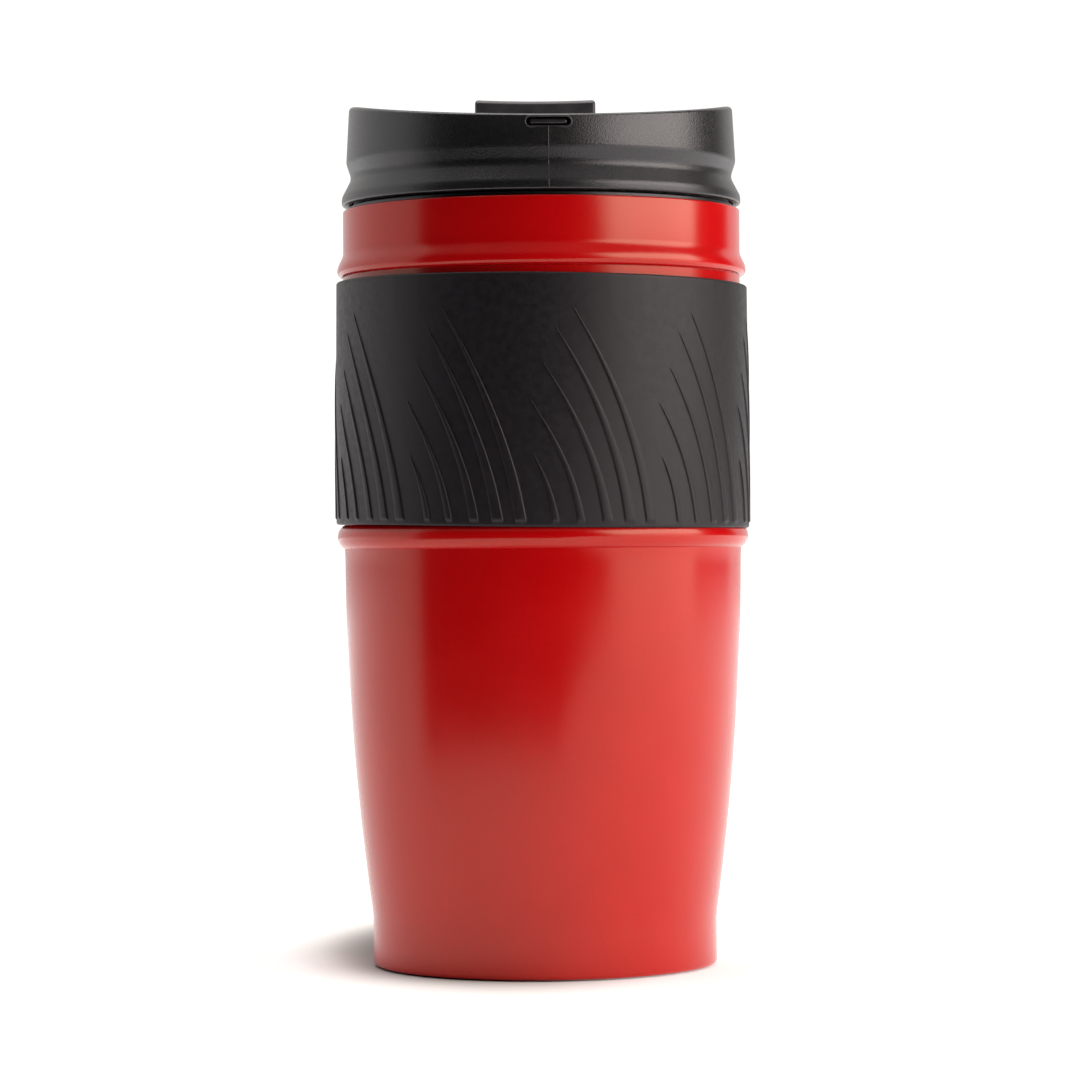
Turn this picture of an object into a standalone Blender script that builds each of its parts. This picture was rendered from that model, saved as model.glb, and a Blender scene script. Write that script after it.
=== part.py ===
"""Insulated travel mug: double-wall steel body, grip sleeve, screw lid and flip cap.

Units are metres and +Z is up. The origin is the centre of the face the mug rests on.
The dip and the catch of the lid's rim face -Y, and the thumb tab of the flip cap is
at +Y. Turned parts are drawn as a section, radius and height, and spun about Z.
"""
import math

import bmesh
import bpy
from mathutils import Matrix, Vector

SEGMENTS = 48
GAP = 0.0003

# Outer shell: a drawn steel wall with a rolled bead above and below the grip sleeve.
SHELL_FOOT_Z = 0.00015
SHELL_TOP_Z = 0.1526
SHELL_WALL = 0.0010
SHELL_LIP_FILLET = 0.0004
FOOT_RADIUS = 0.0348
FOOT_CORNER = 0.0009
BELLY_RADIUS = 0.0401
BELLY_Z = 0.0856
BELLY_CURVE_RADIUS = 0.5375
FOOT_BAND_TOP_Z = 0.0095
UPPER_WALL_RADIUS = 0.0402
LOWER_BEAD_Z = 0.0867
LOWER_BEAD_HALF_HEIGHT = 0.0024
LOWER_BEAD_HEIGHT = 0.0014
UPPER_BEAD_Z = 0.1404
UPPER_BEAD_HEIGHT = 0.0012
UPPER_BEAD_UNDERCUT = 0.0013
UPPER_BEAD_SLOPE = 0.0038

# Base pan and the rubber pad it holds.
PAN_Z = 0.0030
PAN_THICKNESS = 0.0010
PAN_RIM_FOOT_Z = 0.0012
PAN_RIM_WALL = 0.0010
PAD_CHAMFER = 0.0005

# Inner cup, spaced from the shell by an air gap.
CUP_FLOOR_Z = 0.0085
CUP_WALL = 0.0009
CUP_CORNER = 0.0060
CUP_STRAIGHT_Z = 0.0169
CUP_INSET = 0.0037
CUP_TOP_Z = 0.1390

# Threaded collar that joins the two walls, and the lid's threaded ring.
COLLAR_BOTTOM_Z = CUP_TOP_Z + GAP
COLLAR_RADIUS = UPPER_WALL_RADIUS - SHELL_WALL - GAP
COLLAR_BORE_RADIUS = 0.0374
COLLAR_FLANGE_RADIUS = 0.0396
COLLAR_TOP_Z = 0.1534
COLLAR_HOOK_DEPTH = 0.0045
COLLAR_SEAT_THICKNESS = 0.0012
COLLAR_SEAT_SLOPE = 0.0008
COLLAR_LIP_CHAMFER = 0.0005
COLLAR_THREAD_CREST = 0.0364
PLUG_RADIUS = 0.0357
PLUG_WALL = 0.0018
PLUG_BOTTOM_Z = 0.1420
PLUG_CHAMFER = 0.0004
PLUG_THREAD_CREST = 0.03695
THREAD_LEAD = 0.0080
THREAD_STARTS = 2
THREAD_TURN = 0.75
THREAD_ROOT_WIDTH = 0.0014
THREAD_CREST_WIDTH = 0.0007
THREAD_ROOTED = 0.0004
THREAD_END_HEIGHT = 0.15
THREAD_END_STEPS = 4.0
PLUG_THREAD_Z = 0.1440
COLLAR_THREAD_LEAD_IN = -0.125

# Grip sleeve, seated slightly out of level.
SLEEVE_BOTTOM_Z = 0.08895
SLEEVE_TOP_Z = 0.1376
SLEEVE_BORE = 0.04055
SLEEVE_TOP_RADIUS = 0.0417
SLEEVE_RADIUS = 0.0421
SLEEVE_FULL_Z = 0.1080
SLEEVE_EDGE = 0.0008
SLEEVE_TILT = 0.00055

# Lid shell: a skirt, a waist groove, a sunken deck and a rim that dips at the front.
SKIRT_BOTTOM_Z = COLLAR_TOP_Z + GAP
SKIRT_RADIUS = 0.04042
SKIRT_BORE = 0.0389
SKIRT_TOP_Z = 0.1553
SKIRT_FILLET = 0.0015
SKIRT_EDGE = 0.0004
WAIST_RADIUS = 0.03842
WAIST_Z = 0.1591
WAIST_FILLET = 0.0012
BULGE_RADIUS = 0.03947
BULGE_Z = 0.1623
BULGE_FILLET = 0.0009
RIM_RADIUS = 0.03883
RIM_Z = 0.1738
RIM_EDGE = 0.0006
RIM_DIP = 0.0054
RIM_DIP_SHARPNESS = 1.2
DISH_RADIUS = 0.0366
DISH_FILLET = 0.0012
DECK_Z = 0.1623
DECK_THICKNESS = 0.0018
LID_SHOULDER_Z = 0.1556
LID_BORE = 0.0360
GASKET_RADIUS = 0.0384

# Openings in the deck.
SIP_Y = 0.0260
SIP_LENGTH = 0.0140
SIP_WIDTH = 0.0080
VENT_Y = 0.0120
VENT_RADIUS = 0.0015

# Flip cap and its hinge.
HINGE_Z = 0.1688
PIN_RADIUS = 0.0012
PIN_LENGTH = 0.0292
LUG_INNER_X = 0.0102
LUG_OUTER_X = 0.0142
LUG_RADIUS = 0.0032
BARREL_RADIUS = 0.0026
BARREL_HALF_LENGTH = 0.0095
PIN_CLEARANCE = 0.00035
CAP_RADIUS = 0.0360
CAP_NEAR_Y = 0.0044
CAP_BOTTOM_Z = 0.1691
CAP_TOP_Z = 0.1714
CAP_NECK_STEP = 0.0002
TAB_HALF_WIDTH = 0.01265
TAB_TOP_Z = 0.1785
TAB_FRONT_Y = 0.0284
TAB_REAR_Y = 0.0310
TAB_FILLET = 0.0006
TAB_FOOT_Y = 0.0245
TAB_BACK_Y = 0.0332
SEAL_BOTTOM_Z = 0.1627
SEAL_TOP_Z = 0.1646
SIP_SEAL_LENGTH = 0.0190
SIP_SEAL_WIDTH = 0.0125
VENT_SEAL_RADIUS = 0.0032
VENT_POST_RADIUS = 0.0021

# Catch in the dipped front of the rim.
CATCH_Z = 0.16685
CATCH_SLOT_LENGTH = 0.0090
CATCH_SLOT_HEIGHT = 0.0021
CATCH_SLOT_BACK_Y = -0.0372
CATCH_CUTTER_DEPTH = 0.0040
CATCH_BAR_RADIUS = 0.0006
CATCH_BAR_LENGTH = 0.0076
CATCH_BAR_Y = -0.03805


# ---------------------------------------------------------------- small helpers

def clear_scene():
    """Remove every object from the scene."""
    for item in list(bpy.data.objects):
        bpy.data.objects.remove(item, do_unlink=True)


def make_material(name, color, roughness, metallic=0.0, coat=0.0):
    """Make a Principled material."""
    material = bpy.data.materials.new(name)
    material.use_nodes = True
    shader = material.node_tree.nodes["Principled BSDF"]
    shader.inputs["Base Color"].default_value = (*color, 1.0)
    shader.inputs["Roughness"].default_value = roughness
    shader.inputs["Metallic"].default_value = metallic
    shader.inputs["Coat Weight"].default_value = coat
    return material


def finish_object(name, bm, material=None):
    """Turn a bmesh into an object, shaded smooth with sharp edges kept."""
    bmesh.ops.remove_doubles(bm, verts=bm.verts, dist=1e-6)
    bmesh.ops.recalc_face_normals(bm, faces=bm.faces)
    mesh = bpy.data.meshes.new(name)
    bm.to_mesh(mesh)
    bm.free()
    mesh.shade_smooth()
    mesh.set_sharp_from_angle(angle=math.radians(35))
    if material:
        mesh.materials.append(material)
    item = bpy.data.objects.new(name, mesh)
    bpy.context.scene.collection.objects.link(item)
    return item


def rounded(corners, steps=2):
    """Round the corners of an outline given as (radius, height, fillet) triples."""
    points = []
    count = len(corners)
    for index, (x, z, fillet) in enumerate(corners):
        corner = Vector((x, z))
        if not fillet:
            points.append(corner)
            continue
        before = (Vector(corners[index - 1][:2]) - corner).normalized()
        after = (Vector(corners[(index + 1) % count][:2]) - corner).normalized()
        half_angle = before.angle(after) / 2.0
        centre = corner + (before + after).normalized() * fillet / math.sin(half_angle)
        start = corner + before * fillet / math.tan(half_angle) - centre
        end = corner + after * fillet / math.tan(half_angle) - centre
        sweep = start.angle_signed(end)
        for step in range(steps + 1):
            turn = -sweep * step / steps
            cosine, sine = math.cos(turn), math.sin(turn)
            points.append(centre + Vector((start.x * cosine - start.y * sine,
                                           start.x * sine + start.y * cosine)))
    return [(point.x, point.y) for point in points]


def turned(name, section, material=None, warp=None, segments=SEGMENTS):
    """Spin a closed section about Z, and move its points with warp if given."""
    bm = bmesh.new()
    verts = [bm.verts.new((radius, 0.0, height)) for radius, height in section]
    edges = [bm.edges.new((verts[index - 1], verts[index])) for index in range(len(verts))
             if section[index - 1][0] > 1e-7 or section[index][0] > 1e-7]
    bmesh.ops.spin(bm, geom=verts + edges, cent=(0.0, 0.0, 0.0), axis=(0.0, 0.0, 1.0),
                   angle=2.0 * math.pi, steps=segments, use_merge=True)
    for vert in bm.verts:
        if warp:
            vert.co = warp(vert.co)
    return finish_object(name, bm, material)


def prism(name, outline, low_x, high_x, material=None):
    """Extrude an outline of (y, z) points along X."""
    bm = bmesh.new()
    face = bm.faces.new([bm.verts.new((low_x, y, z)) for y, z in outline])
    raised = bmesh.ops.extrude_face_region(bm, geom=[face])["geom"]
    for vert in [part for part in raised if isinstance(part, bmesh.types.BMVert)]:
        vert.co.x = high_x
    return finish_object(name, bm, material)


def plate(name, outline, low_z, high_z, material=None):
    """Extrude an outline of (x, y) points from low_z to high_z."""
    bm = bmesh.new()
    face = bm.faces.new([bm.verts.new((x, y, low_z)) for x, y in outline])
    raised = bmesh.ops.extrude_face_region(bm, geom=[face])["geom"]
    for vert in [part for part in raised if isinstance(part, bmesh.types.BMVert)]:
        vert.co.z = high_z
    return finish_object(name, bm, material)


def arc(radius, start_deg, end_deg, steps, centre=(0.0, 0.0)):
    """Points along an arc, both ends included."""
    angles = [math.radians(start_deg + (end_deg - start_deg) * step / steps)
              for step in range(steps + 1)]
    return [(centre[0] + radius * math.cos(angle), centre[1] + radius * math.sin(angle))
            for angle in angles]


def oblong(length, width, steps=8):
    """Outline of a slot with round ends, its long way along X."""
    radius = width / 2.0
    reach = length / 2.0 - radius
    return (arc(radius, -90.0, 90.0, steps, (reach, 0.0))
            + arc(radius, 90.0, 270.0, steps, (-reach, 0.0)))


def rod(name, radius, length, centre, material=None, segments=24):
    """A cylinder along X."""
    bm = bmesh.new()
    place = Matrix.Translation(centre) @ Matrix.Rotation(math.pi / 2.0, 4, "Y")
    bmesh.ops.create_cone(bm, cap_ends=True, segments=segments, radius1=radius,
                          radius2=radius, depth=length, matrix=place)
    return finish_object(name, bm, material)


def combine(target, tool, operation):
    """Cut a tool from the target, or join it on, with a Boolean modifier."""
    modifier = target.modifiers.new(f"{operation.lower()}_{tool.name}", "BOOLEAN")
    modifier.operation = operation
    modifier.solver = "EXACT"
    modifier.object = tool
    tool.hide_render = True
    tool.display_type = "WIRE"


def make_pivot(name, location):
    """An empty on a joint's axis."""
    pivot = bpy.data.objects.new(name, None)
    pivot.location = location
    bpy.context.scene.collection.objects.link(pivot)
    return pivot


def hang_on(pivot, *items):
    """Parent items to a pivot and keep their places."""
    for item in items:
        item.parent = pivot
        item.matrix_parent_inverse = Matrix.Translation(pivot.location).inverted()


# ---------------------------------------------------------------- the mug's walls

def belly_radius(z):
    """Outer radius of the shell below its lower bead."""
    below = max(0.0, BELLY_Z - z)
    return max(FOOT_RADIUS, BELLY_RADIUS - below * below / (2.0 * BELLY_CURVE_RADIUS))


def spaced(low, high, steps):
    """Evenly spaced values from low to high."""
    return [low + (high - low) * step / steps for step in range(steps + 1)]


def lower_bead():
    """Outer points of the round lower bead, top to bottom."""
    half, height = LOWER_BEAD_HALF_HEIGHT, LOWER_BEAD_HEIGHT
    radius = (half * half + height * height) / (2.0 * height)
    reach = math.degrees(math.asin(half / radius))
    return arc(radius, reach, -reach, 6, (UPPER_WALL_RADIUS + height - radius, LOWER_BEAD_Z))


def upper_bead():
    """Outer points of the upper bead: a gentle slope above, an undercut below."""
    points = []
    for share in spaced(1.0, 0.0, 4):
        height = UPPER_BEAD_HEIGHT * math.cos(share * math.pi / 2.0) ** 2
        points.append((UPPER_WALL_RADIUS + height, UPPER_BEAD_Z + share * UPPER_BEAD_SLOPE))
    for turn in (45.0, 90.0):
        height = UPPER_BEAD_HEIGHT * math.cos(math.radians(turn))
        drop = UPPER_BEAD_UNDERCUT * math.sin(math.radians(turn))
        points.append((UPPER_WALL_RADIUS + height, UPPER_BEAD_Z - drop))
    return points


def make_outer_shell(material):
    """The painted outer wall, open at both ends."""
    bore = UPPER_WALL_RADIUS - SHELL_WALL
    foot_bore = FOOT_RADIUS - SHELL_WALL
    section = rounded([(bore, SHELL_TOP_Z, 0.0), (UPPER_WALL_RADIUS, SHELL_TOP_Z, SHELL_LIP_FILLET),
                       (UPPER_WALL_RADIUS, UPPER_BEAD_Z, 0.0)])[:-1]
    section += upper_bead() + lower_bead()
    low_bead_foot = LOWER_BEAD_Z - LOWER_BEAD_HALF_HEIGHT
    section += [(belly_radius(z), z) for z in spaced(low_bead_foot, FOOT_BAND_TOP_Z, 6)[1:]]
    section += rounded([(FOOT_RADIUS, FOOT_BAND_TOP_Z, 0.0),
                        (FOOT_RADIUS, SHELL_FOOT_Z, FOOT_CORNER),
                        (foot_bore, SHELL_FOOT_Z, 0.0)])[1:]
    section += [(belly_radius(z) - SHELL_WALL, z)
                for z in spaced(FOOT_BAND_TOP_Z, BELLY_Z, 4)]
    return turned("outer_shell", section, material)


def make_shell_base(material):
    """The pressed pan that closes the shell's foot."""
    radius = FOOT_RADIUS - SHELL_WALL - GAP
    top = PAN_Z + PAN_THICKNESS
    section = [(0.0, top), (radius, top), (radius, PAN_RIM_FOOT_Z),
               (radius - PAN_RIM_WALL, PAN_RIM_FOOT_Z), (radius - PAN_RIM_WALL, PAN_Z),
               (0.0, PAN_Z)]
    return turned("shell_base", section, material)


def make_foot_pad(material):
    """The rubber pad that the mug stands on."""
    radius = FOOT_RADIUS - SHELL_WALL - GAP - PAN_RIM_WALL - GAP
    top = PAN_Z - GAP
    section = [(0.0, top), (radius, top), (radius, PAD_CHAMFER), (radius - PAD_CHAMFER, 0.0),
               (0.0, 0.0)]
    return turned("foot_pad", section, material)


def make_inner_cup(material):
    """The steel cup that holds the drink."""
    bottom = CUP_FLOOR_Z - CUP_WALL
    heights = spaced(CUP_STRAIGHT_Z, BELLY_Z, 3)
    outer = [(belly_radius(z) - CUP_INSET, z) for z in heights]
    inner = [(radius - CUP_WALL, z) for radius, z in outer]
    rim = outer[-1][0]
    foot = belly_radius(bottom) - CUP_INSET
    section = [(rim - CUP_WALL, CUP_TOP_Z), (rim, CUP_TOP_Z)]
    section += outer[::-1]
    section += rounded([(*outer[0], 0.0), (foot, bottom, CUP_CORNER), (0.0, bottom, 0.0)], 3)[1:]
    section += rounded([(0.0, CUP_FLOOR_Z, 0.0),
                        (foot - CUP_WALL, CUP_FLOOR_Z, CUP_CORNER - CUP_WALL),
                        (*inner[0], 0.0)], 3)[:-1]
    section += inner
    return turned("inner_cup", section, material)


# ---------------------------------------------------------------- screw thread

def make_ridges(name, root, crest, low_z, first_turn):
    """Ridges of a multi-start thread, running from the root radius to the crest."""
    bm = bmesh.new()
    outward = 1.0 if crest > root else -1.0
    steps = round(SEGMENTS * THREAD_TURN)
    for start in range(THREAD_STARTS):
        phase = start / THREAD_STARTS
        rings = []
        for step in range(steps + 1):
            turn = first_turn + THREAD_TURN * step / steps
            angle = 2.0 * math.pi * (turn + phase)
            from_end = min(step, steps - step)
            height = min(1.0, THREAD_END_HEIGHT + from_end / THREAD_END_STEPS)
            middle = low_z + THREAD_LEAD * turn
            top = root + (crest - root) * height
            ring = []
            for radius, offset in ((root - outward * THREAD_ROOTED, -THREAD_ROOT_WIDTH / 2.0),
                                   (top, -THREAD_CREST_WIDTH / 2.0),
                                   (top, THREAD_CREST_WIDTH / 2.0),
                                   (root - outward * THREAD_ROOTED, THREAD_ROOT_WIDTH / 2.0)):
                ring.append(bm.verts.new((radius * math.cos(angle), radius * math.sin(angle),
                                          middle + offset)))
            rings.append(ring)
        for low, high in zip(rings, rings[1:]):
            for side in range(4):
                bm.faces.new((low[side - 1], low[side], high[side], high[side - 1]))
        bm.faces.new(rings[0])
        bm.faces.new(rings[-1])
    return finish_object(name, bm)


def make_neck_collar(material):
    """The black collar that joins cup and shell and holds the lid's thread."""
    cup_radius = BELLY_RADIUS - CUP_INSET
    flange_z = SHELL_TOP_Z + GAP
    hook_z = COLLAR_BOTTOM_Z - COLLAR_HOOK_DEPTH
    seat_z = COLLAR_BOTTOM_Z + COLLAR_SEAT_THICKNESS
    section = [(COLLAR_BORE_RADIUS + COLLAR_LIP_CHAMFER, COLLAR_TOP_Z),
               (COLLAR_FLANGE_RADIUS, COLLAR_TOP_Z),
               (COLLAR_FLANGE_RADIUS, flange_z), (COLLAR_RADIUS, flange_z),
               (COLLAR_RADIUS, hook_z), (cup_radius + GAP, hook_z),
               (cup_radius + GAP, COLLAR_BOTTOM_Z), (cup_radius - CUP_WALL, COLLAR_BOTTOM_Z),
               (cup_radius - CUP_WALL, seat_z),
               (COLLAR_BORE_RADIUS, seat_z + COLLAR_SEAT_SLOPE),
               (COLLAR_BORE_RADIUS, COLLAR_TOP_Z - COLLAR_LIP_CHAMFER)]
    collar = turned("neck_collar", section, material)
    ridges = make_ridges("collar_thread", COLLAR_BORE_RADIUS, COLLAR_THREAD_CREST,
                         PLUG_THREAD_Z + THREAD_LEAD / THREAD_STARTS / 2.0,
                         COLLAR_THREAD_LEAD_IN)
    combine(collar, ridges, "UNION")
    return collar


def make_grip_sleeve(material):
    """The silicone sleeve, an upright tube tilted a little out of level."""
    def tilted(point):
        return Vector((point.x, point.y, point.z - SLEEVE_TILT * point.x / SLEEVE_RADIUS))

    section = rounded([(SLEEVE_BORE, SLEEVE_TOP_Z, 0.0),
                       (SLEEVE_TOP_RADIUS, SLEEVE_TOP_Z, SLEEVE_EDGE / 2.0),
                       (SLEEVE_RADIUS, SLEEVE_FULL_Z, 0.0),
                       (SLEEVE_RADIUS, SLEEVE_BOTTOM_Z, SLEEVE_EDGE / 2.0),
                       (SLEEVE_BORE + SLEEVE_EDGE, SLEEVE_BOTTOM_Z, 0.0),
                       (SLEEVE_BORE, SLEEVE_BOTTOM_Z + SLEEVE_EDGE, 0.0)])
    return turned("grip_sleeve", section, material, tilted)


# ---------------------------------------------------------------- the lid

def dip_rim(point):
    """Lower the front of the rim."""
    share = (point.z - BULGE_Z) / (RIM_Z - BULGE_Z)
    radius = math.hypot(point.x, point.y)
    if share <= 0.0 or radius < WAIST_RADIUS / 2.0:
        return point
    front = max(0.0, -point.y / radius) ** RIM_DIP_SHARPNESS
    return Vector((point.x, point.y, point.z - share * RIM_DIP * front))


def make_lug(name, side):
    """A hinge lug standing on the lid's deck."""
    outline = arc(LUG_RADIUS, 0.0, 180.0, 8, (0.0, HINGE_Z))
    foot = DECK_Z - DECK_THICKNESS / 2.0
    outline += [(-LUG_RADIUS, foot), (LUG_RADIUS, foot)]
    return prism(name, outline, side * LUG_INNER_X, side * LUG_OUTER_X)


def make_lid_shell(material):
    """Skirt, sunken deck and rim in one moulding, with the lugs of the cap's hinge."""
    section = rounded([(0.0, DECK_Z, 0.0), (DISH_RADIUS, DECK_Z, DISH_FILLET),
                       (DISH_RADIUS, RIM_Z, RIM_EDGE), (RIM_RADIUS, RIM_Z, RIM_EDGE),
                       (BULGE_RADIUS, BULGE_Z, BULGE_FILLET),
                       (WAIST_RADIUS, WAIST_Z, WAIST_FILLET),
                       (SKIRT_RADIUS, SKIRT_TOP_Z, SKIRT_FILLET),
                       (SKIRT_RADIUS, SKIRT_BOTTOM_Z, SKIRT_EDGE),
                       (SKIRT_BORE, SKIRT_BOTTOM_Z, 0.0),
                       (SKIRT_BORE, LID_SHOULDER_Z, 0.0), (LID_BORE, LID_SHOULDER_Z, 0.0),
                       (LID_BORE, DECK_Z - DECK_THICKNESS, 0.0),
                       (0.0, DECK_Z - DECK_THICKNESS, 0.0)])
    lid = turned("lid_shell", section, material, dip_rim)
    through = (DECK_Z - 2.0 * DECK_THICKNESS, DECK_Z + DECK_THICKNESS)
    sip = plate("sip_cutter", oblong(SIP_LENGTH, SIP_WIDTH), *through)
    sip.location.y = SIP_Y
    vent = plate("vent_cutter", arc(VENT_RADIUS, 0.0, 337.5, 15, (0.0, VENT_Y)), *through)
    slot = plate("catch_cutter", oblong(CATCH_SLOT_LENGTH, CATCH_SLOT_HEIGHT),
                 -CATCH_SLOT_BACK_Y, -CATCH_SLOT_BACK_Y + CATCH_CUTTER_DEPTH)
    slot.rotation_euler.x = math.pi / 2.0
    slot.location.z = CATCH_Z
    bore = rod("lug_bore_cutter", PIN_RADIUS + GAP, 2.5 * LUG_OUTER_X, (0.0, 0.0, HINGE_Z))
    for lug in (make_lug("left_lug", -1.0), make_lug("right_lug", 1.0)):
        combine(lid, lug, "UNION")
    for cutter in (sip, vent, slot, bore):
        combine(lid, cutter, "DIFFERENCE")
    return lid


def make_lid_plug(material):
    """The threaded ring under the deck that screws into the collar."""
    top = DECK_Z - DECK_THICKNESS - GAP
    bore = PLUG_RADIUS - PLUG_WALL
    section = [(bore, top), (PLUG_RADIUS, top), (PLUG_RADIUS, PLUG_BOTTOM_Z + PLUG_CHAMFER),
               (PLUG_RADIUS - PLUG_CHAMFER, PLUG_BOTTOM_Z), (bore, PLUG_BOTTOM_Z)]
    plug = turned("lid_plug", section, material)
    ridges = make_ridges("plug_thread", PLUG_RADIUS, PLUG_THREAD_CREST, PLUG_THREAD_Z, 0.0)
    combine(plug, ridges, "UNION")
    return plug


def make_lid_gasket(material):
    """The seal that the lid presses on the collar's rim."""
    low, high = COLLAR_TOP_Z + GAP, LID_SHOULDER_Z - GAP
    section = [(PLUG_RADIUS + GAP, high), (GASKET_RADIUS, high), (GASKET_RADIUS, low),
               (PLUG_RADIUS + GAP, low)]
    return turned("lid_gasket", section, material)


def make_catch_bar(material):
    """The round bar in the rim's slot that holds the opened cap."""
    half = CATCH_BAR_LENGTH / 2.0 - CATCH_BAR_RADIUS
    section = arc(CATCH_BAR_RADIUS, 90.0, 0.0, 3, (0.0, half))
    section += arc(CATCH_BAR_RADIUS, 0.0, -90.0, 3, (0.0, -half))
    section = [(max(0.0, radius), height) for radius, height in section]
    section[0] = (0.0, section[0][1])
    section[-1] = (0.0, section[-1][1])
    bar = turned("catch_bar", section, material, segments=12)
    bar.rotation_euler.y = math.pi / 2.0
    bar.location = (0.0, CATCH_BAR_Y, CATCH_Z)
    return bar


# ---------------------------------------------------------------- the flip cap

def make_flip_cap(material):
    """Half-round cap with a hinge barrel, a thumb tab and two seal posts."""
    edge_deg = math.degrees(math.asin(CAP_NEAR_Y / CAP_RADIUS))
    neck = BARREL_HALF_LENGTH - CAP_NECK_STEP
    outline = [(-neck, CAP_NEAR_Y), (-neck, 0.0), (neck, 0.0), (neck, CAP_NEAR_Y)]
    outline += arc(CAP_RADIUS, edge_deg, 180.0 - edge_deg, 24)
    cap = plate("flip_cap", outline, CAP_BOTTOM_Z, CAP_TOP_Z, material)
    barrel = rod("cap_barrel", BARREL_RADIUS, 2.0 * BARREL_HALF_LENGTH, (0.0, 0.0, HINGE_Z))
    root_z = (CAP_BOTTOM_Z + CAP_TOP_Z) / 2.0
    side = rounded([(TAB_FOOT_Y, root_z, 0.0), (TAB_FRONT_Y, TAB_TOP_Z, TAB_FILLET),
                    (TAB_REAR_Y, TAB_TOP_Z, TAB_FILLET), (TAB_BACK_Y, root_z, 0.0)])
    tab = prism("thumb_tab", side, -TAB_HALF_WIDTH, TAB_HALF_WIDTH)
    sip_post = plate("sip_post", oblong(SIP_LENGTH, SIP_WIDTH), SEAL_TOP_Z + GAP, root_z)
    sip_post.location.y = SIP_Y
    vent_post = plate("vent_post", arc(VENT_POST_RADIUS, 0.0, 337.5, 15, (0.0, VENT_Y)),
                      SEAL_TOP_Z + GAP, root_z)
    bore = rod("barrel_bore_cutter", PIN_RADIUS + PIN_CLEARANCE, 3.0 * BARREL_HALF_LENGTH,
               (0.0, 0.0, HINGE_Z))
    for part in (barrel, tab, sip_post, vent_post):
        combine(cap, part, "UNION")
    combine(cap, bore, "DIFFERENCE")
    return [cap, barrel, tab, sip_post, vent_post, bore]


def make_seals(material):
    """The silicone pads that close the sip opening and the vent."""
    sip = plate("sip_stopper", oblong(SIP_SEAL_LENGTH, SIP_SEAL_WIDTH), SEAL_BOTTOM_Z,
                SEAL_TOP_Z, material)
    sip.location.y = SIP_Y
    vent = plate("vent_stopper", arc(VENT_SEAL_RADIUS, 0.0, 337.5, 15, (0.0, VENT_Y)),
                 SEAL_BOTTOM_Z, SEAL_TOP_Z, material)
    return [sip, vent]


def main():
    """Build the mug."""
    clear_scene()
    red_paint = make_material("red_paint", (0.52, 0.012, 0.012), 0.32, coat=0.4)
    steel = make_material("brushed_steel", (0.62, 0.62, 0.63), 0.34, 1.0)
    black = make_material("black_plastic", (0.018, 0.018, 0.019), 0.5)
    gloss_black = make_material("gloss_black_plastic", (0.015, 0.015, 0.016), 0.2)
    silicone = make_material("black_silicone", (0.022, 0.022, 0.024), 0.72)
    seal = make_material("grey_seal", (0.16, 0.16, 0.165), 0.6)

    make_outer_shell(red_paint)
    make_shell_base(steel)
    make_foot_pad(silicone)
    make_inner_cup(steel)
    make_neck_collar(black)
    make_grip_sleeve(silicone)

    lid_pivot = make_pivot("lid_axis", (0.0, 0.0, COLLAR_TOP_Z))
    pin = rod("hinge_pin", PIN_RADIUS, PIN_LENGTH, (0.0, 0.0, HINGE_Z), steel, 16)
    hang_on(lid_pivot, make_lid_gasket(seal), make_lid_shell(black), make_lid_plug(black),
            make_catch_bar(gloss_black), pin)

    cap_pivot = make_pivot("cap_axis", (0.0, 0.0, HINGE_Z))
    hang_on(cap_pivot, *make_flip_cap(gloss_black), *make_seals(seal))


main()
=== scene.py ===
"""Looks of the insulated travel mug: fine meshes, procedural materials and the studio.

Units are metres. Every piece stands for one CAD node and keeps to its size and place.
Turned pieces are drawn as a section, radius and height, and swept round +Z.
"""
import math

import bmesh
import bpy
import numpy as np
from mathutils import Matrix, Vector


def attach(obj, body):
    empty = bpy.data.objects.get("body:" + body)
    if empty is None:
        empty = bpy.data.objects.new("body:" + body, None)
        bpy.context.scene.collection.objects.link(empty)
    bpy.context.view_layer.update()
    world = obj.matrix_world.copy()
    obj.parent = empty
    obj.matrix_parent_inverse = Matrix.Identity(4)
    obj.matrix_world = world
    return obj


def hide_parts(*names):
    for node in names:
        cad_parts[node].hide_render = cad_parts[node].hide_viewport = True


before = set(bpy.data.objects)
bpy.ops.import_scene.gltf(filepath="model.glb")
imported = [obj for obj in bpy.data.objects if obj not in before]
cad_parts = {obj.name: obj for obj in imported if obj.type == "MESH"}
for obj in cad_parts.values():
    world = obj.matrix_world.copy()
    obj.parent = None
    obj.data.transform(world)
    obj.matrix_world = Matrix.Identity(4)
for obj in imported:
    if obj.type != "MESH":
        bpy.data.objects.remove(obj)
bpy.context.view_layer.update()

scene = bpy.context.scene
MM = 0.001


# ================================================================ sizes, in millimetres

GAP = 0.3                     # between neighbouring pieces
FINE, MIDDLE, THREADED = 256, 192, 240        # columns round a turned piece

# Outer wall, with its two beads.
SHELL_TOP, SHELL_FOOT, SHELL_WALL = 152.6, 0.15, 1.0
WALL_RADIUS, BELLY_RADIUS, FOOT_RADIUS = 40.2, 40.1, 34.8
BELLY_Z, BELLY_CURVE, FOOT_BAND_TOP = 85.6, 537.5, 9.5
SHELL_LIP_FILLET, SHELL_FOOT_FILLET = 0.4, 0.9
LOWER_BEAD = {"z": 86.7, "half": 2.4, "height": 1.4}
UPPER_BEAD = {"z": 140.4, "height": 1.2, "undercut": 1.3, "slope": 3.8}
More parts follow.
